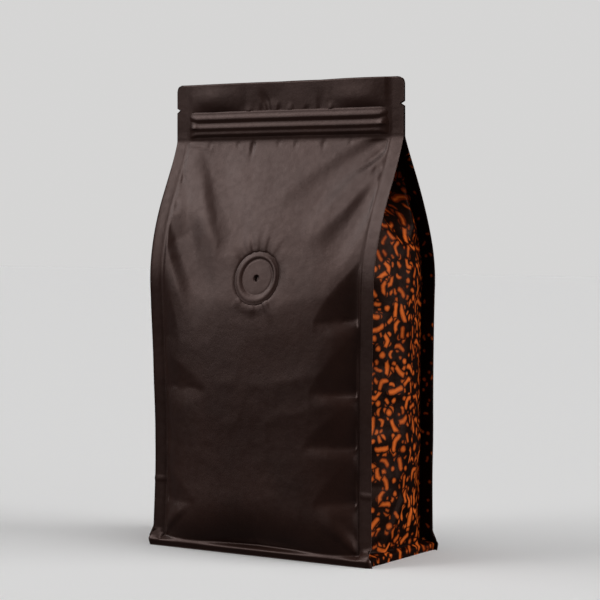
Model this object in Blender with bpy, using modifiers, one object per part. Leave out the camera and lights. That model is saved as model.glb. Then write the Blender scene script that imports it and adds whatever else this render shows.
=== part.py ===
"""A full, shut, flat-bottomed coffee pouch that stands on its base: solids in metres, +Z up.

Nodes
    pouch    the filled film bag: panels, gussets, four corner seals, base skirt and header, one solid
    zipper   the press-to-close strip, whose ribs show on both faces of the header
    valve    the one-way degassing valve in the front panel

The front faces -Y. The origin is the middle of the base, on the surface that the pouch stands on.
"""

import math

import bmesh
import bpy
from mathutils import Matrix, Vector

# The film bag
HEIGHT = 0.228  # base to the top edge of the header
BODY_TOP = 0.200  # where the filled body ends and the flat header begins
HALF_WIDTH = 0.0657  # centre to the outer edge of a corner seal, at the header
FOOT_HALF_WIDTH = 0.0632  # the same at the foot
WAIST = 0.0015  # how far the filled sides draw the corner seals in between
SEAL_WIDTH = 0.007
SEAL_THICKNESS = 0.0008
HALF_DEPTH = 0.0283  # mid-plane to the plane of the front or back corner seals
SHOULDER = 0.072  # height over which the body closes up to the header
SHOULDER_POWER = 1.15
LEAN = 0.0045  # how far forward the header stands of the base's middle
BELLY = 0.0016  # how far back the lower body sags
BELLY_TOP = 0.110

# How far the panels swell past the planes of the seals
FRONT_SWELL = 0.0083
BACK_SWELL = 0.0068
SWELL_TOP = 0.155
SWELL_RISE = 0.070
GUSSET_SWELL = 0.0085
GUSSET_TUCK = 0.024  # how far the gusset folds in below the header
TUCK_BOTTOM = 0.145
TUCK_RISE = 0.036  # height over which the fold widens to the whole gusset
TUCK_START = 0.3  # the fold's share of the gusset's width where it starts
TUCK_CLOSES = 0.188  # above this the pressed gusset fold closes up

# The base
SKIRT_HALF_DEPTH = 0.033
SKIRT_HEIGHT = 0.0026
SKIRT_TOP = 0.0052
SKIRT_THICKNESS = 0.002
SKIRT_HALF_WIDTH = 0.0645
SKIRT_CORNER = 0.0018  # how much of its corners is cut off
SIDE_LIP = 0.0625  # centre to the side edge of the base
ROLL_IN = 0.045  # height over which a panel curves in to the base
ROLL_SHARE = 0.6

# Pleats where a swollen panel meets its corner seal
PLEAT_DEPTH = 0.0016
PLEAT_REACH = 0.024
PLEAT_PITCH = 0.026
PLEAT_LOWEST = 0.028
PLEAT_COUNT = 4

# The header
HEADER_THICKNESS = 0.002
HEADER_CORNER = 0.0035
EDGE_GROOVE = 0.0005  # depth of the groove between the two films at the header's sides
LEDGE_HEIGHT = 0.004  # height over which the gap between the seals closes below the header
NOTCH_HEIGHT = 0.2155
NOTCH_DEPTH = 0.0016
NOTCH_HALF_MOUTH = 0.001

# The zipper
ZIP_BOTTOM = 0.2014
ZIP_TOP = 0.2146
ZIP_HALF_LENGTH = 0.0570
ZIP_RIB_HEIGHTS = (0.2044, 0.2084, 0.2124)
ZIP_RIB_HALF = 0.0019
ZIP_RIB_PROUD = 0.0011

# The valve
VALVE_HEIGHT = 0.133
VALVE_RADIUS = 0.013
VALVE_TILT = math.radians(14)
VALVE_DEPTH = 0.0022
VALVE_PROUD = 0.0009
VALVE_HOLE = 0.0011

GAP = 0.0003  # between neighbouring solids

# Mesh fineness
PANEL_COLUMNS = 12
GUSSET_COLUMNS = 12
BODY_LEVELS = 40
CORNER_STEPS = 5
RIB_STEPS = 6
ROUND_STEPS = 48


def clamp(t):
    return min(max(t, 0.0), 1.0)


def smooth(t):
    t = clamp(t)
    return t * t * (3 - 2 * t)


def blend(a, b, t):
    return a + (b - a) * t


# Plan of the body at height z


def half_width(z):
    share = clamp(z / BODY_TOP)
    drawn_in = WAIST * math.sin(math.pi * share**0.6) ** 2
    up = clamp((z - HEIGHT + HEADER_CORNER) / HEADER_CORNER)
    rounded_off = HEADER_CORNER * (1 - math.sqrt(1 - up**2))
    return blend(FOOT_HALF_WIDTH, HALF_WIDTH, share) - drawn_in - rounded_off


def seal_inside(z):
    """Centre to the bottom of the gap between the front and back seals, which closes at the header."""
    closed = smooth((z - BODY_TOP + LEDGE_HEIGHT) / LEDGE_HEIGHT)
    return half_width(z) - blend(SEAL_WIDTH, EDGE_GROOVE, closed)


def mid_plane(z):
    lean = -LEAN * clamp(z / BODY_TOP) ** 5
    return lean + BELLY * math.sin(math.pi * clamp(z / BELLY_TOP))


def half_depth(z):
    """Mid-plane to the plane of the corner seals, which become the header's two films."""
    closing = math.sin(math.pi / 2 * clamp((BODY_TOP - z) / SHOULDER)) ** SHOULDER_POWER
    return blend((HEADER_THICKNESS - SEAL_THICKNESS) / 2, HALF_DEPTH, closing)


def skirt(z):
    """1 on the base's skirt, 0 above it."""
    return 1 - smooth((z - SKIRT_HEIGHT) / (SKIRT_TOP - SKIRT_HEIGHT))


def seal_plane(z, side):
    """Y of a corner seal's middle. side is -1 for the front, 1 for the back."""
    body = mid_plane(z) + side * half_depth(z)
    foot = side * (SKIRT_HALF_DEPTH - SKIRT_THICKNESS / 2)
    return blend(body, foot, skirt(z))


def seal_thickness(z):
    return blend(SEAL_THICKNESS, SKIRT_THICKNESS, skirt(z))


def roll_in(z):
    return 1 - ROLL_SHARE * (1 - clamp(z / ROLL_IN)) ** 2


def pleats(inset, z):
    """Depth of the pleats at a distance inset from the seal. Each is deepest just above its crease."""
    reach = 1 - clamp(inset / PLEAT_REACH)
    turn = (z - PLEAT_LOWEST) / PLEAT_PITCH
    if not 0 <= turn < PLEAT_COUNT:
        return 0.0
    rise = turn - math.floor(turn)
    tooth = math.sin(math.pi * rise**0.6)
    return PLEAT_DEPTH * tooth * math.sin(math.pi * reach**1.5)


def panel_point(share, z, side):
    """A point of the front or back panel, share of the way from its middle to the corner seal."""
    inner = half_width(z) - SEAL_WIDTH
    swell = FRONT_SWELL if side < 0 else BACK_SWELL
    swell *= smooth((SWELL_TOP - z) / SWELL_RISE) * roll_in(z) * (1 - skirt(z))
    pillow = (1 - share**2.6) ** 0.7
    sunk = pleats(inner * (1 - share), z) * (1 - skirt(z))
    out = seal_thickness(z) / 2 + swell * pillow - sunk
    return Vector((inner * share, seal_plane(z, side) + side * out, z))


def gusset_bow(s, z):
    """How far the gusset stands out from the line between the seals' inner edges. s runs from -1 to 1."""
    tuck = smooth((z - TUCK_BOTTOM) / TUCK_RISE)
    swell = GUSSET_SWELL * roll_in(z) * (1 - tuck) * (1 - abs(s) ** 2.2)
    fold = GUSSET_TUCK * tuck * clamp(1 - abs(s) / blend(TUCK_START, 1, tuck))
    fold *= 1 - smooth((z - TUCK_CLOSES) / (BODY_TOP - TUCK_CLOSES))
    foot = (SIDE_LIP - seal_inside(z)) * (1 - abs(s) ** 8)
    return blend(swell - fold, foot, skirt(z))


def gusset_points(z):
    """The gusset from the back of the front seal to the front of the back seal, without its ends."""
    near = seal_plane(z, -1) + seal_thickness(z) / 2
    far = seal_plane(z, 1) - seal_thickness(z) / 2
    points = []
    for i in range(1, GUSSET_COLUMNS):
        s = 2 * i / GUSSET_COLUMNS - 1
        points.append(Vector((seal_inside(z) + gusset_bow(s, z), blend(near, far, (s + 1) / 2), z)))
    return points


def seal_points(z, side):
    """A corner seal's corners, from its outer face's outer edge to its inner face's inner edge."""
    plane = seal_plane(z, side)
    half = seal_thickness(z) / 2
    outer = blend(half_width(z), SKIRT_HALF_WIDTH, skirt(z))
    return [
        Vector((outer - SKIRT_CORNER * skirt(z), plane + side * half, z)),
        Vector((outer, plane - side * half, z)),
        Vector((seal_inside(z), plane - side * half, z)),
    ]


def right_half(z):
    """The section at height z from the front's middle round to the back's middle."""
    shares = [math.sin(math.pi / 2 * i / PANEL_COLUMNS) for i in range(PANEL_COLUMNS + 1)]
    front = [panel_point(share, z, -1) for share in shares]
    back = [panel_point(share, z, 1) for share in reversed(shares)]
    around = seal_points(z, -1) + gusset_points(z) + seal_points(z, 1)[::-1]
    return front + around + back


def section(z):
    right = right_half(z)
    left = [Vector((-p.x, p.y, p.z)) for p in reversed(right[1:-1])]
    return right + left


def levels():
    """Heights of the sections: close together on the skirt, even up the body, few up the header."""
    foot = [0.0, SKIRT_HEIGHT, blend(SKIRT_HEIGHT, SKIRT_TOP, 0.5), SKIRT_TOP]
    step = (BODY_TOP - SKIRT_TOP) / BODY_LEVELS
    body = [SKIRT_TOP + step * (i + 1) for i in range(BODY_LEVELS)]
    turns = [math.pi / 2 * i / CORNER_STEPS for i in range(CORNER_STEPS + 1)]
    return foot + body + [HEIGHT - HEADER_CORNER * (1 - math.sin(turn)) for turn in turns]


# Shapes


def material(name, colour, roughness):
    made = bpy.data.materials.new(name)
    made.use_nodes = True
    shader = made.node_tree.nodes["Principled BSDF"]
    shader.inputs["Base Color"].default_value = (*colour, 1)
    shader.inputs["Roughness"].default_value = roughness
    shader.inputs["Metallic"].default_value = 0.0
    return made


def add_object(name, data, collection):
    obj = bpy.data.objects.new(name, data)
    collection.objects.link(obj)
    return obj


def helper(obj):
    """Keeps a cutter or a piece that is joined into another out of the model."""
    obj.hide_render = True
    obj.display_type = "WIRE"
    return obj


def lofted(name, sections, collection):
    """A closed mesh through sections of equally many points, capped at both ends."""
    bm = bmesh.new()
    rings = [[bm.verts.new(p) for p in points] for points in sections]
    count = len(rings[0])
    for low, high in zip(rings, rings[1:]):
        for i in range(count):
            j = (i + 1) % count
            bm.faces.new((low[i], low[j], high[j], high[i]))
    caps = [bm.faces.new(rings[0][::-1]), bm.faces.new(rings[-1])]
    bmesh.ops.triangulate(bm, faces=caps, ngon_method="BEAUTY")
    bmesh.ops.recalc_face_normals(bm, faces=bm.faces)
    mesh = bpy.data.meshes.new(name)
    bm.to_mesh(mesh)
    bm.free()
    return add_object(name, mesh, collection)


def flat_outline(name, outline, thickness, collection):
    """A plate whose closed outline lies in its own XY plane, half its thickness to either side."""
    curve = bpy.data.curves.new(name, "CURVE")
    curve.dimensions = "2D"
    curve.fill_mode = "BOTH"
    curve.extrude = thickness / 2
    spline = curve.splines.new("POLY")
    spline.points.add(len(outline) - 1)
    spline.use_cyclic_u = True
    for point, (x, y) in zip(spline.points, outline):
        point.co = (x, y, 0, 1)
    shape = add_object(name, curve, collection)
    bpy.context.view_layer.update()
    graph = bpy.context.evaluated_depsgraph_get()
    mesh = bpy.data.meshes.new_from_object(shape.evaluated_get(graph))
    bm = bmesh.new()
    bm.from_mesh(mesh)
    bmesh.ops.remove_doubles(bm, verts=bm.verts, dist=1e-6)
    bmesh.ops.recalc_face_normals(bm, faces=bm.faces)
    bm.to_mesh(mesh)
    bm.free()
    bpy.data.objects.remove(shape)
    return add_object(name, mesh, collection)


def moved_to(collection, name):
    """The primitive just added, named and moved to the collection."""
    obj = bpy.context.object
    obj.name = name
    for old in list(obj.users_collection):
        old.objects.unlink(obj)
    collection.objects.link(obj)
    return obj


def boolean(obj, other, operation):
    modifier = obj.modifiers.new(f"{operation.lower()} {other.name}", "BOOLEAN")
    modifier.object = other
    modifier.operation = operation
    modifier.solver = "EXACT"


def upright(y):
    """Turns a plate's XY plane into the XZ plane at y."""
    return Matrix.Translation((0, y, 0)) @ Matrix.Rotation(math.pi / 2, 4, "X")


def zip_window(collection):
    """The slot through the header that the zipper fills."""
    middle = (0, mid_plane(BODY_TOP), (ZIP_BOTTOM + ZIP_TOP) / 2)
    length = 2 * (ZIP_HALF_LENGTH + GAP)
    height = ZIP_TOP - ZIP_BOTTOM + 2 * GAP
    bpy.ops.mesh.primitive_cube_add(
        size=1, location=middle, scale=(length, 3 * HEADER_THICKNESS, height)
    )
    return helper(moved_to(collection, "zip_window_cutter"))


def notch(side, collection):
    """The wedge that cuts a tear notch into one side of the header."""
    tip = HALF_WIDTH - NOTCH_DEPTH
    over = 2.0  # the wedge is this many times as long as the notch is deep, so that the cut is open
    mouth = tip + over * NOTCH_DEPTH
    half = over * NOTCH_HALF_MOUTH
    outline = [(tip, 0), (mouth, -half), (mouth, half)]
    outline = [(side * x, NOTCH_HEIGHT + z) for x, z in outline]
    name = "notch_cutter_right" if side > 0 else "notch_cutter_left"
    cutter = flat_outline(name, outline, 3 * HEADER_THICKNESS, collection)
    cutter.matrix_world = upright(mid_plane(BODY_TOP))
    return helper(cutter)


def zip_profile():
    """The zipper's section: a flat strip with three ribs on each face, as (y, z) from its mid-plane."""
    half = HEADER_THICKNESS / 2
    face = [(half, ZIP_BOTTOM)]
    for middle in ZIP_RIB_HEIGHTS:
        for i in range(RIB_STEPS + 1):
            turn = math.pi * i / RIB_STEPS
            z = middle - ZIP_RIB_HALF * math.cos(turn)
            face.append((half + ZIP_RIB_PROUD * math.sin(turn), z))
    face.append((half, ZIP_TOP))
    return face + [(-y, z) for y, z in reversed(face)]


def turned(name, profile, collection):
    """A solid turned about its own Z axis from a profile of (radius, height) on +X, top to bottom."""
    mesh = bpy.data.meshes.new(name)
    edges = [(i, i + 1) for i in range(len(profile) - 1)]
    mesh.from_pydata([(r, 0, h) for r, h in profile], edges, [])
    obj = add_object(name, mesh, collection)
    screw = obj.modifiers.new("turn", "SCREW")
    screw.steps = screw.render_steps = ROUND_STEPS
    screw.use_merge_vertices = True
    screw.merge_threshold = 1e-5
    return obj


def valve_profile():
    """The valve's face, with its rim, groove, dished disc and centre hole, over a flat back."""
    r = VALVE_RADIUS
    top = VALVE_PROUD
    disc = top * 0.45
    return [
        (0.0, -VALVE_DEPTH * 0.4),
        (VALVE_HOLE, -VALVE_DEPTH * 0.4),
        (VALVE_HOLE, disc),
        (r * 0.62, disc),
        (r * 0.70, disc * 0.2),
        (r * 0.78, top * 0.9),
        (r * 0.86, top),
        (r * 0.94, top * 0.8),
        (r, 0.0),
        (r, -VALVE_DEPTH),
        (0.0, -VALVE_DEPTH),
    ]


def valve_place():
    """The valve's frame: its centre on the front panel, its own Z along the panel's normal."""
    y = panel_point(0.0, VALVE_HEIGHT, -1).y
    facing = Matrix.Rotation(math.pi / 2 - VALVE_TILT, 4, "X")
    return Matrix.Translation((0, y, VALVE_HEIGHT)) @ facing


def valve_seat(collection):
    """The round recess in the front panel that the valve sits in."""
    depth = VALVE_DEPTH + GAP
    over = 0.01  # past the panel, so that the cut is open
    bpy.ops.mesh.primitive_cylinder_add(
        vertices=ROUND_STEPS, radius=VALVE_RADIUS + GAP, depth=depth + over
    )
    cutter = moved_to(collection, "valve_seat_cutter")
    cutter.matrix_world = valve_place() @ Matrix.Translation((0, 0, (over - depth) / 2))
    return helper(cutter)


def finish(obj, look):
    """One material, and shading that is smooth except at real edges."""
    obj.data.materials.clear()
    obj.data.materials.append(look)
    obj.data.shade_smooth()
    obj.data.set_sharp_from_angle(angle=math.radians(40))


def main():
    for old in list(bpy.data.objects):
        bpy.data.objects.remove(old)
    parts = bpy.data.collections.new("coffee_bag")
    cutters = bpy.data.collections.new("cutters")
    for collection in (parts, cutters):
        bpy.context.scene.collection.children.link(collection)

    film = material("matt_dark_film", (0.030, 0.022, 0.018), 0.5)
    strip = material("zipper_film", (0.036, 0.027, 0.022), 0.42)
    moulded = material("valve_film", (0.034, 0.026, 0.021), 0.45)

    pouch = lofted("pouch", [section(z) for z in levels()], parts)
    boolean(pouch, zip_window(cutters), "DIFFERENCE")
    for side in (-1, 1):
        boolean(pouch, notch(side, cutters), "DIFFERENCE")
    boolean(pouch, valve_seat(cutters), "DIFFERENCE")
    finish(pouch, film)

    zipper = flat_outline("zipper", zip_profile(), 2 * ZIP_HALF_LENGTH, parts)
    along_x = Matrix(((0, 0, 1), (1, 0, 0), (0, 1, 0))).to_4x4()
    zipper.matrix_world = Matrix.Translation((0, mid_plane(BODY_TOP), 0)) @ along_x
    finish(zipper, strip)

    valve = turned("valve", valve_profile(), parts)
    valve.matrix_world = valve_place()
    finish(valve, moulded)


main()
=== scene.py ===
"""A full, shut, flat-bottomed coffee pouch in a plain studio: film panels, printed gussets, zip header and valve.

The front faces -Y. Shapes are worked out in millimetres, and film points as (across, height) on their panel.
"""

import math

import bmesh
import bpy
import numpy as np
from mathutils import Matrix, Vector


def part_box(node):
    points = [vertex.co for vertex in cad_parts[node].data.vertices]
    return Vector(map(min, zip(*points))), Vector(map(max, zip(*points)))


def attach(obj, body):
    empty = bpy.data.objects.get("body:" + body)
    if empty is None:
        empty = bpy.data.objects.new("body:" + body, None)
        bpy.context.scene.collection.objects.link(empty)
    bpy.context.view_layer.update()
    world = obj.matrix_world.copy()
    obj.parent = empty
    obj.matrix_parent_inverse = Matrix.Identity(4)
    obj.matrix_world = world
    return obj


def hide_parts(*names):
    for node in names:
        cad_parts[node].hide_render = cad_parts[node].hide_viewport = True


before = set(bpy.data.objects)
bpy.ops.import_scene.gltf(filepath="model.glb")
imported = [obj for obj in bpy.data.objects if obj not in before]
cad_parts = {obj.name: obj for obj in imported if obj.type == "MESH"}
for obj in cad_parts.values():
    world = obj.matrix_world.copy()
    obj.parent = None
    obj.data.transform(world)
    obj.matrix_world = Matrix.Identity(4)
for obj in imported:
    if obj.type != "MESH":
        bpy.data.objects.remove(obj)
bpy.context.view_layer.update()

MM = 0.001

# ---------------------------------------------------------------- the pouch's plan

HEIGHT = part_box("pouch")[1][2] / MM
BODY_TOP = 200.0
HALF_WIDTH = 65.7
FOOT_HALF_WIDTH = 63.2
WAIST = 1.5
SEAL = 7.0
HALF_DEPTH = 28.3
SHOULDER = 72.0
LEAN = 4.5
BELLY = 1.0
FRONT_SWELL = 8.3
BACK_SWELL = 6.8
GUSSET_SWELL = 8.5
GUSSET_TUCK = 24.0
SKIRT_DEPTH = 33.0
FILM = 0.26  # thickness of the film


def clamp(t):
    return np.clip(t, 0.0, 1.0)


def smooth(t):
    t = clamp(t)
    return t * t * (3 - 2 * t)


def ease(t):
    return t**3 * (t * (6 * t - 15) + 10)


def blend(a, b, t):
    return a + (b - a) * t


def half_width(z):
    share = clamp(z / BODY_TOP)
    return blend(FOOT_HALF_WIDTH, HALF_WIDTH, share) - WAIST * np.sin(np.pi * share**0.6) ** 2


def mid_plane(z):
    return -LEAN * clamp(z / BODY_TOP) ** 5 + BELLY * np.sin(np.pi * clamp(z / 110)) ** 2


def half_depth(z):
    closing = np.sin(np.pi / 2 * clamp((BODY_TOP - z) / SHOULDER)) ** 1.15
    return blend(0.5, HALF_DEPTH, closing)


def fin_curl(x, z):
    """The corner seals curl forward a little towards their edge."""
    return 0.11 * np.maximum(np.abs(x) - half_width(z) + SEAL - 0.8, 0) * (1 - skirt(z)) * smooth((205 - z) / 40)


def skirt(z):
    """1 on the skirt round the base, 0 above it."""
    return 1 - smooth((z - 3.1) / 2.1)


def seal_plane(z, side, in_seal=0.0):
    """Y of a corner seal. side is -1 for the front, 1 for the back.

    in_seal goes from 0 where the seal starts to 1 at its edge, where its foot bends out highest above the skirt.
    """
    body = mid_plane(z) + side * half_depth(z)
    body = body + 0.3 * noise(z * 0, z, 21, 5 + side) * smooth((z - 10) / 10)
    rise = (2.4 + 3.4 * in_seal) * smooth(in_seal / 0.15)
    foot = clamp((3.4 + rise - z) / (rise + 0.01)) * (in_seal > 0)
    curl = 1.1 * clamp((2.6 - z) / 2.6)
    return blend(body, side * (SKIRT_DEPTH - 0.4 - curl), np.maximum(skirt(z), foot))


# ---------------------------------------------------------------- creases in film


def lattice(seed, shape=(64, 64)):
    return np.random.default_rng(seed).uniform(-1, 1, shape)


def noise(x, z, scale, seed):
    """Smooth noise from -1 to 1, one hump for each scale in mm."""
    grid = lattice(seed)
    u, v = x / scale + 31.7, z / scale + 17.3
    i, j = np.floor(u).astype(int), np.floor(v).astype(int)
    a, b = ease(u - i), ease(v - j)
    i, j, k, m = i % 64, j % 64, (i + 1) % 64, (j + 1) % 64
    low = blend(grid[i, j], grid[k, j], a)
    high = blend(grid[i, m], grid[k, m], a)
    return blend(low, high, b)


def crumple(x, z, scale, seed):
    """Shallow facets that meet in soft creases, as in film that was once folded: 0 to 1."""
    bend_x = x + 0.35 * scale * noise(x, z, scale * 1.7, seed + 7)
    bend_z = z + 0.35 * scale * noise(x, z, scale * 1.7, seed + 8)
    return 1 - np.sqrt(noise(bend_x, bend_z, scale, seed) ** 2 + 0.01)


def along(x, z, points):
    """Distance along a polyline, signed distance from it (left is positive) and its length."""
    best = np.full(x.shape, 1e9)
    run = np.zeros(x.shape)
    off = np.zeros(x.shape)
    done = 0.0
    for (x0, z0), (x1, z1) in zip(points, points[1:]):
        dx, dz = x1 - x0, z1 - z0
        length = math.hypot(dx, dz)
        dx, dz = dx / length, dz / length
        t = (x - x0) * dx + (z - z0) * dz
        side = (z - z0) * dx - (x - x0) * dz
        gap = np.hypot(side, t - np.clip(t, 0, length))
        nearer = gap < best
        best = np.where(nearer, gap, best)
        run = np.where(nearer, done + t, run)
        off = np.where(nearer, np.where(side < 0, -1, 1) * gap, off)
        done += length
    return run, off, done


def fold(x, z, points, height, left, right, start=4.0, end=12.0, soft=0.5):
    """A ridge, or with a negative height a valley, along a polyline that runs away from its start.

    left and right, as one travels, are the widths of the slopes, each at the start and at the end.
    soft goes from 0, a crisp crest between flat facets, to 1, rounded at crest and foot.
    """
    run, off, length = along(x, z, points)
    share = clamp(run / length)
    width = np.where(off > 0, blend(left[0], left[1], share), blend(right[0], right[1], share))
    round_crest = 0.01 + 0.06 * soft
    level = np.sqrt((off / width) ** 2 + round_crest) - math.sqrt(round_crest)
    level = clamp(1 - level / (math.sqrt(1 + round_crest) - math.sqrt(round_crest)))
    crest = blend(level, smooth(level), soft)
    ends = clamp(run / start + 0.001) * smooth((length - run) / end)
    return height * crest * ends


def pocket(x, z, low, high, tip, depth, lip=6.0, edge=57.3):
    """A tuck at a corner seal: a facet that sinks towards the seal and down to a crease at height low.

    Below the crease the film comes back out within the lip's height.
    """
    z = z + 0.9 * noise(x, x * 0, 14, int(low)) - 0.04 * (x - tip)
    reach = tip + (edge - tip) * clamp((z - low) / (high - low)) ** 1.3
    past = np.maximum((x - reach) / (edge - tip), 0)
    share = clamp((x - tip) / (edge - tip))
    above = past**2 / (past + 0.1)
    below = share * clamp(1 - (low - z) / lip) ** 2
    near_edge = blend(1, 1 - share**8, smooth((z - low + lip) / lip))
    below = below * (1 - 0.5 * share**5 * smooth((low - z) / lip * 2))
    sunk = np.where(z > low, np.where(z < high, above, 0), below)
    return -depth * np.minimum(sunk, 1) * near_edge


# ---------------------------------------------------------------- the front film

# Folds: points, height, left widths, right widths, start taper, end taper, softness
FRONT_FOLDS = [
    # from the top left corner towards the valve
    ([(-46, 194), (-35, 181), (-26, 168), (-18, 156), (-12, 143)], -0.85, (12, 16), (9, 12), 18, 14, 1),
    ([(-58, 199), (-46.5, 180.5), (-36, 160), (-31.5, 148), (-28, 128)], 0.5, (7, 8), (8, 11), 10, 16, 0.9),
    ([(-54, 188), (-49, 174), (-44, 161), (-39, 149), (-34, 138)], -0.3, (9, 9), (9, 12), 16, 26, 1),
    ([(-60, 199.5), (-50, 197.5), (-40, 195)], 0.5, (2.5, 2), (2, 2), 2, 9, 0.3),
    # the dark fold at the left seal
    ([(-57, 163), (-50, 150), (-43, 139), (-35, 127), (-26, 112)], -1.7, (16, 28), (5, 13), 13, 26, 0.9),
    ([(-60, 173), (-56, 169), (-54, 163)], -0.35, (2, 3), (2, 3), 2, 5, 0.6),
    ([(-60, 187), (-56.5, 181), (-56, 176)], -0.3, (2, 2.5), (2, 2.5), 2, 5, 0.6),
    # from the top right corner
    ([(59, 200), (48, 192), (38, 185), (28, 176), (19, 166), (9, 153)], -1.0, (5, 16), (6, 18), 8, 30, 1),
    ([(59, 196), (51, 189), (43, 183.5)], -0.6, (3, 3), (2, 3), 4, 9, 0.4),
    ([(59, 179), (54, 170), (48, 158), (41, 148), (32, 137)], -1.15, (6, 13), (5, 16), 12, 22, 0.9),
    ([(59, 185.5), (55, 184.5), (52.5, 181.5)], -0.35, (2, 2), (2, 2.5), 2, 3, 0.7),
    # light ridges out of the base corners
    ([(-58, 5), (-47, 16.5), (-35, 27)], 0.8, (3, 7), (2.5, 6), 3, 14, 0.9),
    ([(58, 5), (48, 15), (37, 25)], 0.8, (2.5, 6), (3, 7), 3, 14, 0.9),
    # soft unevenness between them
    ([(-12, 196), (-8, 180), (-10, 168)], 0.12, (6, 8), (6, 8), 8, 12, 1),
]

# Tucks at the right seal and at the left seal: low, high, tip, depth, lip
RIGHT_POCKETS = [
    (113.5, 142, 34, 5.2, 9),
    (80.5, 111, 32.5, 5.2, 7),
    (55, 77.5, 29, 4.5, 7),
    (28, 52, 35, 4.0, 7),
    (13, 23, 45, 1.2, 8),
]
LEFT_POCKETS = [
    (79, 97, 26, 2.9, 13),
    (24, 42, 32, 2.5, 12),
    (104, 134, 44, 1.7, 13),
    (52, 65, 42, 0.9, 9),
]

# Short pleats that hang from the zip: across, length, height
FRONT_PLEATS = [(-45, 5, 0.3), (-28, 6, 0.35), (-19, 13, 0.6), (-4, 6, 0.3), (6, 7, 0.35), (22, 8, 0.4), (37, 5, 0.3)]

# The valve, and the rays that it pulls in the film: direction in degrees, length, height
VALVE_X, VALVE_Z, VALVE_R = -0.3, 133.0, 12.8
VALVE_RAYS = [
    (136, 10, -0.35),
    (115, 15, 0.26),
    (99, 13, 0.2),
    (82, 15, 0.24),
    (60, 13, 0.22),
    (38, 9, 0.18),
    (-60, 14, 0.3),
    (-92, 8, 0.2),
    (-128, 8, 0.2),
]


def panel_swell(x, z, side):
    """How far the filled panel stands out past the corner seals: a gentle dome that steps down at the seals."""
    inner = half_width(z) - SEAL
    share = clamp(np.abs(x) / inner)
    swell = FRONT_SWELL if side < 0 else BACK_SWELL
    tall = smooth((153 - z) / 108)
    return swell * tall * (0.4 * (1 - share**3) + 0.6 * (1 - share**10))


def shelf(x, z):
    """The front stays steep down to the level of the contents, which push it out a little."""
    level = 124.5 - 8 * np.exp(-((x / 15) ** 2)) + 2.2 * noise(x, z * 0, 17, 45)
    above = (z - level + np.sqrt((z - level) ** 2 + 7)) / 2
    out = 2.7 * clamp(1 - above / (150 - level)) ** 2 * smooth((z - 48) / 62)
    return out * clamp(1 - np.abs(x / 57) ** 6)


def tuck_under(x, z, depth):
    """How far the panel curves in towards the base: softly in the middle, with a crease at the corners."""
    inward = np.maximum(57 - np.abs(x), 0)
    start = 6 + 26 * (1 - np.exp(-inward / 18))
    power = blend(1.3, 2.7, smooth(inward / 30))
    return -depth * clamp((start - z) / 26) ** power


ZIP_TOP = 213.8

# The header's wrinkles above the zip: points, height, left widths, right widths, tapers, softness
HEADER_FOLDS = [
    ([(-9.5, 213), (-11, 218), (-15, 225)], -0.42, (2.2, 3.5), (1.8, 3), 1, 8, 0.6),
    ([(-13.5, 213), (-14.5, 219)], -0.35, (2.2, 2), (1.6, 2), 1, 5, 0.4),
    ([(-22, 212.5), (-21, 219)], 0.26, (2.6, 3), (2.6, 3), 1, 5, 0.7),
    ([(-4, 213), (-3, 219)], -0.35, (1.6, 2), (2.2, 2.4), 1, 5, 0.6),
    ([(2, 213), (3, 218.5)], 0.22, (2, 2.2), (2.6, 2.6), 1, 4, 0.7),
    ([(12, 213), (13, 217)], -0.35, (2.6, 2), (2.2, 2), 1, 4, 0.6),
    ([(20, 213), (20.5, 225)], -0.3, (2.6, 4), (2.2, 4), 1, 10, 0.9),
    ([(25.5, 212.5), (26, 218.5)], 0.27, (2, 2), (2, 2.4), 1, 4, 0.7),
]


def header_relief(x, z):
    """The header above the zip: at each end the film bulges out over the zip, with wrinkles between."""
    up = z - ZIP_TOP
    out = np.zeros(x.shape)
    for middle, half, rise, depth in ((-40.5, 17.5, 7.5, 1.25), (43, 16.5, 6.0, 1.1)):
        width = clamp(1 - ((x - middle) / half) ** 2) ** 1.3
        swing = 1 - (1 - clamp(up / rise)) ** 2.2
        out += depth * width * swing * (1 - 0.3 * smooth((up - rise) / (14 - rise)))
    for crease in HEADER_FOLDS:
        out += fold(x, z, *crease)
    out += 0.22 * noise(x, z, 13, 14) * smooth((z - 216) / 4)
    return out * smooth((z - 213.2) / 1.2) * (1 - smooth((np.abs(x) - 55.5) / 3))


def front_relief(x, z):
    out = np.zeros(x.shape)
    for crease in FRONT_FOLDS:
        out += fold(x, z, *crease)
    for low, high, tip, depth, lip in RIGHT_POCKETS:
        out += pocket(x, z, low, high, tip, depth, lip)
    for low, high, tip, depth, lip in LEFT_POCKETS:
        out += pocket(-x, z, low, high, tip, depth, lip)
    for across, length, height in FRONT_PLEATS:
        out += fold(x, z, [(across, 201), (across + 1, 200 - length)], -height, (1.6, 1.2), (2.4, 1.6), 1, length)
    return out


def valve_rays(x, z):
    """The small folds that the valve pulls in the film round it."""
    out = np.zeros(x.shape)
    for turn, length, height in VALVE_RAYS:
        c, s = math.cos(math.radians(turn)), math.sin(math.radians(turn))
        reach = VALVE_R + length
        ends = [(VALVE_X + c * 11, VALVE_Z + s * 11), (VALVE_X + c * reach, VALVE_Z + s * reach)]
        out += fold(x, z, ends, height, (1.9, 3.4), (1.9, 3.4), 1, length, 0.9)
    return out


def film_texture(x, z, seed):
    """The unevenness that all the film has."""
    out = 0.45 * noise(x, z, 34, seed)
    out += 0.22 * crumple(x, z, 21, seed + 1) + 0.09 * crumple(x, z, 9, seed + 2)
    return out


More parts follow.
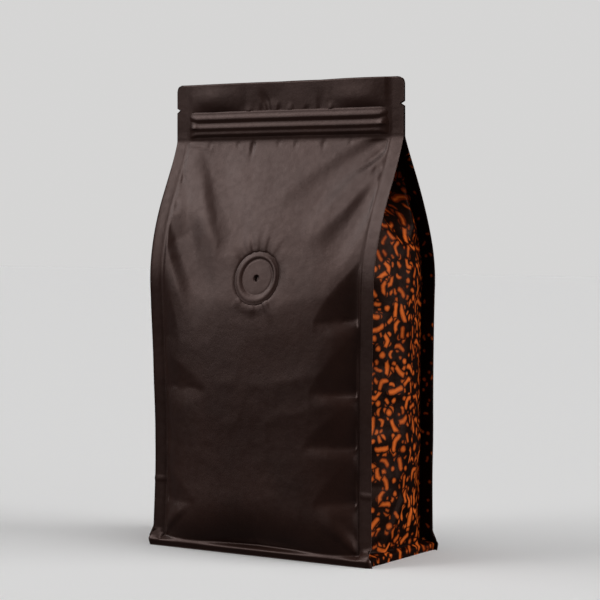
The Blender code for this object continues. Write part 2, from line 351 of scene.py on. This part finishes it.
def panel_out(x, z, side, relief, seed):
    """How far the front or back film stands out from the plane of its corner seals."""
    inner = half_width(z) - SEAL
    in_panel = smooth((inner - np.abs(x)) / 2.0)
    body = smooth((BODY_TOP + 0.5 - z) / 3.0)
    above_skirt = 1 - skirt(z)
    out = tuck_under(x, z, 8.3)
    if side < 0:
        out += shelf(x, z)
    out += relief(x, z) * body + film_texture(x, z, seed) * smooth((BODY_TOP + 2 - z) / 30)
    out = panel_swell(x, z, side) + out * in_panel
    return np.maximum(out, -0.5 * half_depth(z)) * body * above_skirt


def valve_bed(z):
    """Y of the flat place on the front film where the valve sits."""
    middle = np.array([VALVE_X]), np.array([VALVE_Z])
    out = panel_swell(*middle, -1) + shelf(*middle)
    return (seal_plane(middle[1], -1) - out)[0] - 0.42 + 0.26 * (z - VALVE_Z)


def front_y(x, z):
    into_seal = np.abs(x) - half_width(z) + SEAL
    plane = seal_plane(z, -1, clamp(into_seal / SEAL)) - 0.42
    out = panel_out(x, z, -1, front_relief, 11)
    seam = np.exp(-(((into_seal - 0.6) / 0.7) ** 2)) * (1 + 0.8 * noise(x * 0, z, 7, 9))
    out -= 0.09 * seam * smooth((z - 8) / 6) * smooth((200 - z) / 2)
    valve = np.hypot(x - VALVE_X, z - VALVE_Z)
    out = blend(out, plane - valve_bed(z), 1 - smooth((valve - VALVE_R + 1) / 7))
    out += valve_rays(x, z)
    out -= 1.3 * (1 - smooth((valve - VALVE_R + 1.6) / 1.6))
    out -= 0.22 * np.exp(-(((valve - VALVE_R - 0.1) / 0.5) ** 2))
    stand_off = 0.35 * smooth((z - BODY_TOP + 2) / 4)
    out += stand_off * (1 - smooth((np.abs(x) - 56) / 4)) + header_relief(x, z)
    tick = np.exp(-(((z - 32.6) / 0.6) ** 2)) * smooth(into_seal)
    out += 0.45 * tick
    crush = np.exp(-(((z - 211.2) / 0.5) ** 2)) + 1.3 * np.exp(-(((z - 205) / 0.6) ** 2))
    out -= 0.16 * crush * smooth((np.abs(x) - 58.6) / 1.0) * (1 - smooth((np.abs(x) - 62) / 3))
    return plane - out - fin_curl(x, z)


# ---------------------------------------------------------------- the back film

BACK_FOLDS = [
    ([(57, 199), (46, 184), (36, 168), (24, 152)], -1.6, (2, 8), (4, 12), 8, 20, 0.6),
    ([(-57, 197), (-48, 180), (-42, 160), (-30, 143)], -1.7, (3, 11), (2, 8), 8, 20, 0.6),
    ([(-30, 190), (-12, 172), (8, 160)], -0.7, (6, 6), (7, 7), 10, 16, 0.8),
    ([(30, 150), (10, 141), (-14, 138)], -0.6, (7, 7), (5, 5), 12, 14, 0.8),
    ([(58, 160), (50, 148), (40, 138)], -1.8, (3, 7), (3, 8), 3, 14, 0.4),
    ([(-10, 60), (6, 84), (12, 104)], 0.5, (8, 8), (8, 8), 12, 12, 1),
]
BACK_RIGHT_POCKETS = [(104, 128, 38, 3.2, 7), (70, 95, 33, 3.4, 8), (38, 60, 36, 3.0, 7), (17, 30, 42, 1.8, 6)]
BACK_LEFT_POCKETS = [(118, 144, 37, 3.4, 7), (88, 110, 34, 3.2, 7), (60, 80, 40, 2.6, 7), (30, 52, 35, 3.0, 8)]
BACK_PLEATS = [(-40, 6, 0.4), (-15, 9, 0.5), (10, 6, 0.35), (33, 10, 0.5)]


def back_relief(x, z):
    out = np.zeros(x.shape)
    for crease in BACK_FOLDS:
        out += fold(x, z, *crease)
    for low, high, tip, depth, lip in BACK_RIGHT_POCKETS:
        out += pocket(x, z, low, high, tip, depth, lip)
    for low, high, tip, depth, lip in BACK_LEFT_POCKETS:
        out += pocket(-x, z, low, high, tip, depth, lip)
    for across, length, height in BACK_PLEATS:
        out += fold(x, z, [(across, 201), (across + 1, 200 - length)], -height, (1.8, 1.4), (2.4, 1.6), 1, length)
    return out


def back_y(x, z):
    out = panel_out(x, z, 1, back_relief, 31)
    stand_off = 0.35 * smooth((z - BODY_TOP + 2) / 4)
    out += stand_off * (1 - smooth((np.abs(x) - 56) / 4)) + 0.7 * header_relief(-x, z)
    into_seal = np.abs(x) - half_width(z) + SEAL
    return seal_plane(z, 1, clamp(into_seal / SEAL)) + 0.42 + out


# ---------------------------------------------------------------- the gusset films


def gusset_out(s, y, z, seed):
    """X of the gusset between the seals. s runs from -1 at the front seal to 1 at the back seal."""
    inner = half_width(z) - SEAL
    tuck = smooth((z - 145) / 36)
    foot = 1 - 0.6 * (1 - clamp(z / 45)) ** 2
    swell = GUSSET_SWELL * foot * (1 - tuck) * (1 - np.abs(s) ** 2.2)
    width = blend(0.3, 1.0, tuck)
    valley = GUSSET_TUCK * tuck * clamp(1 - np.sqrt(s**2 + 0.0016) / width)
    valley = valley * (1 - smooth((z - 188) / 12))
    bow = swell - valley
    near_seal = smooth((1 - np.abs(s)) / 0.12)
    relief = 0.7 * noise(y, z, 15, seed) + 0.8 * crumple(y, z, 13, seed + 1) - 0.4
    relief += fold(y, z, [(0, 150), (0.5, 90), (0, 31)], 1.3, (8, 8), (8, 8), 20, 14)
    relief += fold(y, z, [(0, 31), (-9, 16), (-15, 4)], 1.2, (5, 5), (4, 4), 3, 3)
    relief += fold(y, z, [(0, 31), (12, 17), (22, 4)], 1.2, (4, 4), (5, 5), 3, 3)
    relief += fold(y, z, [(-18, 163), (0, 155), (22, 146)], -1.8, (6, 6), (7, 7), 5, 5)
    for low, high, tip, depth in ((118, 138, 8, 1.5), (92, 110, 10, 1.6), (64, 84, 9, 1.6), (36, 54, 10, 1.4)):
        relief += pocket(np.abs(y + 2 * noise(y * 0, z, 30, seed + 3)), z, low, high, tip, depth, 7, 27)
    out = inner + bow + relief * near_seal * (1 - smooth((z - 165) / 25))
    foot_x = 62.2 + 0.25 * noise(y, z * 0, 9, seed + 4)
    return blend(out, foot_x, skirt(z))


def gusset_points(u, z, seed):
    """Points of the right gusset film. u runs from -1 to 1; its ends lie in the corner seals."""
    seal_share = 0.16
    s = np.clip(u / (1 - seal_share), -1, 1)
    in_seal = clamp((np.abs(u) - 1 + seal_share) / seal_share)
    near, far = (seal_plane(z, side, 0.85 * in_seal) - 0.14 * side for side in (-1, 1))
    clear = np.minimum(1.6, 0.45 * half_depth(z)) * smooth((1 - np.abs(s)) / 0.12)
    y = blend(near + clear, far - clear, (s + 1) / 2)
    x = blend(gusset_out(s, y, z, seed), half_width(z) + 0.6 * skirt(z) - 0.35, in_seal)
    y = y - fin_curl(x, z) * in_seal * (u < 0)
    return x, y


# ---------------------------------------------------------------- meshes


def grid_mesh(name, x, y, z, flip=False):
    """A mesh through arrays of points, rows by columns, in mm."""
    rows, columns = x.shape
    points = np.stack([x, y, z], -1).reshape(-1, 3) * MM
    index = np.arange(rows * columns).reshape(rows, columns)
    quads = np.stack([index[:-1, :-1], index[:-1, 1:], index[1:, 1:], index[1:, :-1]], -1)
    quads = quads.reshape(-1, 4)
    if flip:
        quads = quads[:, ::-1]
    mesh = bpy.data.meshes.new(name)
    mesh.from_pydata(points.tolist(), [], quads.tolist())
    mesh.shade_smooth()
    obj = bpy.data.objects.new(name, mesh)
    bpy.context.scene.collection.objects.link(obj)
    return obj


def set_uv(obj, u, v, name="film"):
    """A UV map in units of 10 mm of film."""
    layer = obj.data.uv_layers.new(name=name)
    flat = np.stack([u, v], -1).reshape(-1, 2) / 10
    corners = np.zeros(len(obj.data.loops), dtype=np.int32)
    obj.data.loops.foreach_get("vertex_index", corners)
    layer.data.foreach_set("uv", flat[corners].astype(np.float32).ravel())


def thicken(obj, thickness, offset=-1.0):
    solid = obj.modifiers.new("film thickness", "SOLIDIFY")
    solid.thickness = thickness * MM
    solid.offset = offset
    solid.use_even_offset = False


def spaced(stops):
    """Values from the first stop to the last. A stop is (value, the step after it)."""
    values = [stops[0][0]]
    for (start, step), (end, _) in zip(stops, stops[1:]):
        count = max(1, round((end - start) / step))
        values += [start + (end - start) * (i + 1) / count for i in range(count)]
    return np.array(values)


def finish_piece(obj, material, slot, *nodes):
    obj.data.materials.append(material)
    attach(obj, "root")
    if nodes:
        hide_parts(*nodes)


NOTCH_Z, NOTCH_DEPTH, NOTCH_HALF = 215.4, 2.3, 1.1


def header_edge(z):
    """Centre to the film's side edge, with the tear notch and the round top corner."""
    up = clamp((z - HEIGHT + 3.5) / 3.5)
    edge = half_width(z) - 3.5 * (1 - np.sqrt(1 - up**2))
    return edge - NOTCH_DEPTH * clamp(1 - np.abs(z - NOTCH_Z) / NOTCH_HALF)


def film_panel(name, side):
    """The front or back film, from the base to the header's top edge, with the corner seals' outer layers."""
    heights = spaced(
        [(0, 0.5), (6.5, 1.15), (120, 0.9), (148, 1.15), (198, 0.6), (202, 3), (213.7, 0.275), (217, 0.8), (HEIGHT, 1)]
    )
    half = spaced([(0, 0.009), (0.22, 0.0105), (0.84, 0.004), (0.9, 0.008), (1, 1)])
    across = np.concatenate([-half[:0:-1], half])
    share, z = np.meshgrid(across, heights)
    x = share * half_width(z)
    y = front_y(x, z) if side < 0 else back_y(x, z)
    squeeze = smooth((np.abs(share) - 0.93) / 0.07)
    x = np.sign(share) * blend(np.abs(x), header_edge(z), squeeze)
    round_corner = 1.6 * skirt(z) * smooth((np.abs(share) - 0.96) / 0.04)
    y = y - side * round_corner
    x = x + np.sign(share) * 1.2 * skirt(z) * smooth((np.abs(share) - 0.8) / 0.2)
    z = z + 0.25 * noise(x, z * 0, 30, 5 + side) * smooth((z - 222) / 6)
    obj = grid_mesh(name, x, y, z, flip=side > 0)
    set_uv(obj, x, z)
    thicken(obj, FILM)
    return obj


def gusset(name, side):
    heights = spaced([(0, 0.5), (6, 1.0), (145, 1.0), (199.6, 1)])
    across = spaced([(-1, 0.02), (-0.86, 0.008), (-0.8, 0.018), (0.8, 0.008), (0.86, 0.02), (1, 1)])
    u, z = np.meshgrid(across, heights)
    x, y = gusset_points(u, z, 51 if side > 0 else 71)
    obj = grid_mesh(name, side * x, y, z, flip=side < 0)
    steps = np.hypot(np.diff(x, axis=1), np.diff(y, axis=1))
    run = np.concatenate([np.zeros((len(heights), 1)), np.cumsum(steps, axis=1)], 1)
    set_uv(obj, run - run[:, -1:] / 2 + 300 * side, z - 2 * skirt(z))
    set_uv(obj, u * 10, z, "share")
    thicken(obj, FILM)
    return obj


def base_film():
    """The bottom, flat where it rests and a little hollow in the middle."""
    across, deep = np.meshgrid(np.linspace(-62.0, 62.0, 80), np.linspace(-32.3, 32.3, 42))
    rim = np.minimum(62.0 - np.abs(across), 32.3 - np.abs(deep))
    z = 0.2 + 1.4 * smooth(rim / 14) + 0.3 * noise(across, deep, 14, 91) * smooth(rim / 8)
    obj = grid_mesh("pouch_base", across, deep, z, flip=True)
    set_uv(obj, across, deep)
    thicken(obj, 0.2)
    return obj


# The zip seen from the side: heights of its crests and grooves, and how far each stands out
ZIP_PROFILE = [
    (200.4, -0.45),
    (203.2, 0.46),
    (204.3, 0.44),
    (206.1, 0.72),
    (208.5, 0.3),
    (210.6, 0.64),
    (213.3, 0.12),
    (214.2, -0.05),
]
# How the facets' heights spread at the strip's ends: height, and the rise there
ZIP_SPREAD = [(200.4, -0.3), (202.4, -1.2), (205.2, -0.3), (207.6, 0.2), (209.4, 1.3), (211.0, 1.0), (214.2, 0)]
ZIP_HALF = 59.3


def zip_strip(side):
    """The zip under one film: its facets spread and taper at the ends, where the side seals crush it."""
    z_rows = spaced([(200.4, 0.22), (214.2, 1)])
    across = spaced([(-ZIP_HALF, 0.3), (-50, 1.8), (50, 0.3), (ZIP_HALF, 1)])
    x, z = np.meshgrid(across, z_rows)
    to_end = ZIP_HALF - np.abs(x)
    spread = 1 - smooth((to_end - 0.5) / 6.5)
    heights, rises = np.array(ZIP_SPREAD).T
    level = z - spread * np.interp(z, heights, rises) + 0.1 * noise(x, z * 0, 26, 3)
    heights, stands = np.array(ZIP_PROFILE).T
    place = np.interp(level, heights, np.arange(len(heights)))
    below = np.minimum(place.astype(int), len(heights) - 2)
    out = blend(stands[below], stands[below + 1], smooth(place - below))
    knob = np.exp(-(((to_end - 4) / 2.2) ** 2)) * clamp((209.6 - z) / 3.2) * smooth((z - 205.2) / 0.9)
    out = blend(-0.3, out + 0.5 * knob, smooth(to_end / 6.5) ** 0.8)
    out += 0.06 * noise(x, z, 9, 4)
    base = seal_plane(z, side) + side * 0.42
    base = base + side * 0.35 * (1 - smooth((np.abs(x) - 56) / 4))
    return x, base + side * (out + 0.12), z


def zipper():
    objs = []
    for side, name in ((-1, "zip_front"), (1, "zip_back")):
        x, y, z = zip_strip(side)
        obj = grid_mesh(name, x, y, z, flip=side > 0)
        set_uv(obj, x, z)
        thicken(obj, 0.3)
        objs.append(obj)
    return objs


def valve():
    """The valve under the film: a round ring, a dish a little off its centre, and the hole."""
    turns = 144
    radii = spaced([(0.0, 0.3), (2.4, 0.6), (7.2, 0.22), (VALVE_R + 0.6, 1)])[1:]
    turn, r = np.meshgrid(np.linspace(0, 2 * np.pi, turns, endpoint=False), radii)
    x, z = r * np.cos(turn), r * np.sin(turn)
    inside = np.hypot(x - 0.4, z - 0.6)
    across = clamp((r - 12.3) / (12.3 - 8.6 * r / np.maximum(inside, 1)) + 1) * (r < 12.3)
    ring = np.sin(np.pi * across) ** 1.5
    hole = 1 - smooth((r - 1.1) / 0.45)
    out = 0.1 + 0.34 * ring - 3 * hole - 0.1 * np.exp(-(((inside - 8.4) / 0.55) ** 2))
    out -= 0.1 * smooth((r - 2.2) / 5) + 0.12 * smooth((r - 12.2) / 0.6) + 1.5 * smooth((r - VALVE_R) / 0.6)
    tilt = math.radians(14)
    mesh_x = VALVE_X + x
    mesh_y = valve_bed(VALVE_Z + z) - out * math.cos(tilt)
    mesh_z = VALVE_Z + z + out * math.sin(tilt)
    close = [np.concatenate([a, a[:, :1]], 1) for a in (mesh_x, mesh_y, mesh_z)]
    obj = grid_mesh("valve_disc", *close)
    bm = bmesh.new()
    bm.from_mesh(obj.data)
    bmesh.ops.remove_doubles(bm, verts=bm.verts, dist=1e-6)
    rims = [e for e in bm.edges if e.is_boundary]
    inner = [e for e in rims if max(math.hypot(v.co.x / MM - VALVE_X, v.co.z / MM - VALVE_Z) for v in e.verts) < 2]
    bmesh.ops.contextual_create(bm, geom=inner)
    bmesh.ops.recalc_face_normals(bm, faces=bm.faces)
    bm.to_mesh(obj.data)
    bm.free()
    if obj.data.polygons[0].normal.y > 0:
        obj.data.flip_normals()
    obj.data.shade_smooth()
    thicken(obj, 0.3)
    return obj


# ---------------------------------------------------------------- materials


class Nodes:
    """Short calls to build a material's node tree."""

    def __init__(self, name):
        self.material = bpy.data.materials.new(name)
        self.material.use_nodes = True
        self.tree = self.material.node_tree
        self.shader = self.tree.nodes["Principled BSDF"]

    def node(self, kind, **values):
        made = self.tree.nodes.new("ShaderNode" + kind)
        for key, value in values.items():
            setattr(made, key, value)
        return made

    def put(self, value, socket):
        if isinstance(value, bpy.types.NodeSocket):
            self.tree.links.new(value, socket)
        else:
            socket.default_value = value

    def math(self, operation, a, b=0.0, c=0.0):
        made = self.node("Math", operation=operation)
        for value, socket in zip((a, b, c), made.inputs):
            self.put(value, socket)
        return made.outputs[0]

    def vector(self, operation, a, b=(0, 0, 0)):
        made = self.node("VectorMath", operation=operation)
        self.put(a, made.inputs[0])
        self.put(b, made.inputs[3] if operation == "SCALE" else made.inputs[1])
        return made.outputs["Value"] if operation in ("LENGTH", "DISTANCE", "DOT_PRODUCT") else made.outputs[0]

    def mix(self, share, a, b):
        made = self.node("Mix", data_type="RGBA")
        for value, socket in ((share, made.inputs[0]), (a, made.inputs[6]), (b, made.inputs[7])):
            self.put(value, socket)
        return made.outputs[2]

    def noise(self, where, scale, detail=3.0, roughness=0.5):
        made = self.node("TexNoise")
        self.put(where, made.inputs["Vector"])
        made.inputs["Scale"].default_value = scale
        made.inputs["Detail"].default_value = detail
        made.inputs["Roughness"].default_value = roughness
        return made.outputs["Fac"]

    def spread(self, value, low, high, to_low, to_high):
        made = self.node("MapRange")
        for v, socket in zip((value, low, high, to_low, to_high), made.inputs):
            self.put(v, socket)
        return made.outputs[0]

    def bump(self, heights):
        """Stacks bumps: each is (height socket, distance in mm, strength)."""
        normal = None
        for height, distance, strength in heights:
            made = self.node("Bump")
            made.inputs["Strength"].default_value = strength
            made.inputs["Distance"].default_value = distance * MM
            self.put(height, made.inputs["Height"])
            if normal:
                self.put(normal, made.inputs["Normal"])
            normal = made.outputs[0]
        self.put(normal, self.shader.inputs["Normal"])


FILM_DARK = (0.027, 0.0115, 0.0084, 1)
FILM_LIGHT = (0.036, 0.0150, 0.0108, 1)


def film_material(name, roughness=(0.33, 0.41), grain=0.3):
    """Matt laminated film: dark brown, a fine uneven surface, and a soft satin sheen."""
    n = Nodes(name)
    where = n.node("TexCoord").outputs["Object"]
    cloud = n.noise(where, 45, 4)
    fine = n.noise(where, 900, 3, 0.6)
    mottle = n.noise(where, 320, 2)
    colour = n.mix(n.spread(cloud, 0.35, 0.65, 0, 1), FILM_DARK, FILM_LIGHT)
    n.put(colour, n.shader.inputs["Base Color"])
    n.put(n.spread(mottle, 0.3, 0.7, *roughness), n.shader.inputs["Roughness"])
    n.shader.inputs["Specular IOR Level"].default_value = 0.46
    n.shader.inputs["Specular Tint"].default_value = (1.0, 0.71, 0.65, 1)
    n.bump([(mottle, 0.25, grain), (fine, 0.08, grain)])
    return n.material


PRINT_BASE = (0.0042, 0.0012, 0.0006, 1)
PRINT_DEEP = (0.12, 0.014, 0.001, 1)
PRINT_PALE = (0.86, 0.175, 0.026, 1)


def motifs(n, where, scale, seed, radius, longest, dot_share):
    """One scattered layer of short, bent, rounded rods and dots, with gaps between them.

    Returns how far a point is outside a motif, in units of 10 mm, and a random number for each motif.
    """
    place = n.vector("ADD", where, (seed * 3.7, seed * 1.9, 0))
    cells, edges = (n.node("TexVoronoi", voronoi_dimensions="2D", feature=f) for f in ("F1", "DISTANCE_TO_EDGE"))
    for made in (cells, edges):
        n.put(place, made.inputs["Vector"])
        made.inputs["Scale"].default_value = scale
        made.inputs["Randomness"].default_value = 0.8
    chance = n.node("SeparateColor")
    n.put(cells.outputs["Color"], chance.inputs[0])
    turned = n.node("VectorRotate", rotation_type="Z_AXIS")
    n.put(n.vector("SUBTRACT", place, cells.outputs["Position"]), turned.inputs["Vector"])
    n.put(n.math("MULTIPLY", chance.outputs[0], 6.283), turned.inputs["Angle"])
    axes = n.node("SeparateXYZ")
    n.put(turned.outputs[0], axes.inputs[0])
    lengthwise, crosswise = axes.outputs[0], axes.outputs[1]
    is_rod = n.math("GREATER_THAN", chance.outputs[1], dot_share)
    half = n.math("MULTIPLY", is_rod, n.spread(chance.outputs[2], 0, 1, longest * 0.5, longest))
    angle = n.math("MULTIPLY", is_rod, n.spread(chance.outputs[1], dot_share, 1, -0.15, 0.8))
    bend = n.math("MULTIPLY", angle, n.math("SQRT", n.math("ADD", n.math("MULTIPLY", lengthwise, lengthwise), 0.006)))
    past = n.math("MAXIMUM", n.math("SUBTRACT", n.math("ABSOLUTE", lengthwise), half), 0)
    aside = n.math("ADD", crosswise, bend)
    gap = n.math("SQRT", n.math("ADD", n.math("MULTIPLY", past, past), n.math("MULTIPLY", aside, aside)))
    size = n.math("SUBTRACT", radius * 1.4, n.math("MULTIPLY", is_rod, radius * 0.4))
    outside = n.math("SUBTRACT", gap, size)
    to_edge = n.math("SUBTRACT", 0.035, n.math("DIVIDE", edges.outputs["Distance"], scale))
    return n.math("MAXIMUM", outside, to_edge), chance.outputs[2]


def printed_material(name):
    """The gusset's film: black, with a scattered orange print of dots and short rods, but for the seals; the ink is
    darkened towards the top and towards the back half as painted shade.
    """
    n = Nodes(name)
    uv = n.node("UVMap", uv_map="film").outputs[0]
    wobble = n.node("TexNoise", noise_dimensions="2D")
    n.put(uv, wobble.inputs["Vector"])
    wobble.inputs["Scale"].default_value = 2.2
    shift = n.vector("SCALE", n.vector("SUBTRACT", wobble.outputs["Color"], (0.5, 0.5, 0.5)), 0.12)
    where = n.vector("ADD", uv, shift)
    rods, tone = motifs(n, where, 1.12, 1, 0.125, 0.40, 0.12)
    beans, _ = motifs(n, where, 1.6, 3, 0.10, 0.17, 0.4)
    specks, speck_chance = motifs(n, where, 2.2, 5, 0.06, 0.08, 0.6)
    beans = n.math("MAXIMUM", beans, n.math("SUBTRACT", 0.075, rods))
    parts = n.node("SeparateXYZ")
    n.put(n.node("UVMap", uv_map="share").outputs[0], parts.inputs[0])
    across, up = parts.outputs[0], parts.outputs[1]
    in_seal = n.math("MULTIPLY", n.math("SUBTRACT", n.math("ABSOLUTE", across), 0.82), 4)
    shapes = n.math("MAXIMUM", n.math("MINIMUM", rods, beans), in_seal)
    specks = n.math("ADD", specks, n.math("LESS_THAN", speck_chance, 0.4))
    specks = n.math("MAXIMUM", specks, n.math("SUBTRACT", 0.08, shapes))
    outside = n.math("MINIMUM", shapes, specks)
    object_place = n.node("TexCoord").outputs["Object"]
    cloud = n.noise(object_place, 60, 3)
    depth = n.spread(outside, 0, -0.11, 0, 0.55)
    strong = n.math("ADD", depth, n.math("ADD", n.math("MULTIPLY", tone, 0.35), n.math("MULTIPLY", cloud, 0.5)))
    # Painted shade: the ink is darker towards the top of the gusset, where it is recessed, and towards its back half,
    # which gets less light.
    painted_shade = n.math("ADD", n.spread(up, 14, 18, 0, 0.4), n.spread(across, 0.1, 0.8, 0, 0.25))
    painted_shade = n.math("MULTIPLY", painted_shade, n.math("LESS_THAN", in_seal, 0))
    ink = n.mix(n.spread(n.math("SUBTRACT", strong, painted_shade), 0.3, 1.35, 0, 1), PRINT_DEEP, PRINT_PALE)
    n.put(n.mix(n.spread(outside, -0.035, 0.03, 1, 0), PRINT_BASE, ink), n.shader.inputs["Base Color"])
    mottle = n.noise(object_place, 320, 2)
    fine = n.noise(object_place, 900, 3, 0.6)
    n.put(n.spread(mottle, 0.3, 0.7, 0.40, 0.52), n.shader.inputs["Roughness"])
    n.shader.inputs["Specular IOR Level"].default_value = 0.07
    n.shader.inputs["Specular Tint"].default_value = (1.0, 0.55, 0.42, 1)
    n.bump([(mottle, 0.25, 0.4), (fine, 0.08, 0.4)])
    return n.material


def plain_material(name, colour, roughness):
    n = Nodes(name)
    n.shader.inputs["Base Color"].default_value = colour
    n.shader.inputs["Roughness"].default_value = roughness
    return n.material


# ---------------------------------------------------------------- the pieces

matt_film = film_material("matt_film")
zip_film = film_material("zip_film", roughness=(0.28, 0.34), grain=0.2)
valve_film = film_material("valve_film", roughness=(0.33, 0.41), grain=0.25)
printed_film = printed_material("printed_film")

finish_piece(film_panel("pouch_front", -1), matt_film, "film", "pouch")
finish_piece(film_panel("pouch_back", 1), matt_film, "film")
finish_piece(gusset("gusset_right", 1), printed_film, "film")
finish_piece(gusset("gusset_left", -1), printed_film, "film")
finish_piece(base_film(), matt_film, "film")
zip_front, zip_back = zipper()
finish_piece(zip_front, zip_film, "zip", "zipper")
finish_piece(zip_back, zip_film, "zip")
finish_piece(valve(), valve_film, "valve", "valve")

# ---------------------------------------------------------------- the studio

floor_mesh = bpy.data.meshes.new("floor")
floor_mesh.from_pydata([(-4, -4, 0), (4, -4, 0), (4, 4, 0), (-4, 4, 0)], [], [(0, 1, 2, 3)])
floor = bpy.data.objects.new("floor", floor_mesh)
bpy.context.scene.collection.objects.link(floor)
floor.data.materials.append(plain_material("floor_paper", (0.86, 0.855, 0.85, 1), 0.9))
floor.visible_glossy = False
floor.visible_diffuse = False

world = bpy.data.worlds.new("studio")
world.use_nodes = True
sky = world.node_tree
dim = sky.nodes["Background"]
dim.inputs["Color"].default_value = (0.93, 0.95, 1.0, 1)
dim.inputs["Strength"].default_value = 0.05
backdrop = sky.nodes.new("ShaderNodeBackground")
backdrop.inputs["Color"].default_value = (0.868, 0.863, 0.858, 1)
backdrop.inputs["Strength"].default_value = 0.771
rays = sky.nodes.new("ShaderNodeLightPath")
choose = sky.nodes.new("ShaderNodeMixShader")
sky.links.new(rays.outputs["Is Camera Ray"], choose.inputs[0])
sky.links.new(dim.outputs[0], choose.inputs[1])
sky.links.new(backdrop.outputs[0], choose.inputs[2])
sky.links.new(choose.outputs[0], sky.nodes["World Output"].inputs["Surface"])
bpy.context.scene.world = world
bpy.context.scene.view_settings.view_transform = "Standard"


# Directions are given as the camera sees them: right of it, away from it, up.
TURN = math.radians(33.4)


def seen(right, away, up):
    x = right * math.cos(TURN) - away * math.sin(TURN)
    y = right * math.sin(TURN) + away * math.cos(TURN)
    return (x, y, up)


def soft_light(name, around, height, width, strength, colour=(1, 1, 1)):
    """A softbox far off: degrees to the camera's right, degrees up and its width in degrees."""
    data = bpy.data.lights.new(name, "SUN")
    data.angle = math.radians(width)
    data.energy = strength
    data.color = colour
    obj = bpy.data.objects.new(name, data)
    a, h = math.radians(around), math.radians(height)
    where = seen(math.sin(a) * math.cos(h), -math.cos(a) * math.cos(h), math.sin(h))
    obj.location = where
    obj.rotation_euler = (-Vector(where)).to_track_quat("-Z", "Y").to_euler()
    bpy.context.scene.collection.objects.link(obj)


soft_light("key_high", -84, 39, 30, 0.66)
soft_light("key_low", -74, 19, 30, 0.42)
soft_light("rim", -112, 30, 25, 0.35)
soft_light("side", 72, 14, 40, 2.4)
soft_light("front_fill", 40, 12, 40, 0.3)
soft_light("overhead", 20, 84, 40, 1.0)

camera_data = bpy.data.cameras.new("camera")
camera_data.sensor_width = 36
camera_data.lens = 36 * 2021 / 600
camera_data.shift_x = 0.013
camera = bpy.data.objects.new("camera", camera_data)
camera.location = seen(0, -0.988, 0.1635)
camera.rotation_euler = (math.radians(90 - 2.43), 0, TURN)
bpy.context.scene.collection.objects.link(camera)
bpy.context.scene.camera = camera

bpy.context.view_layer.update()
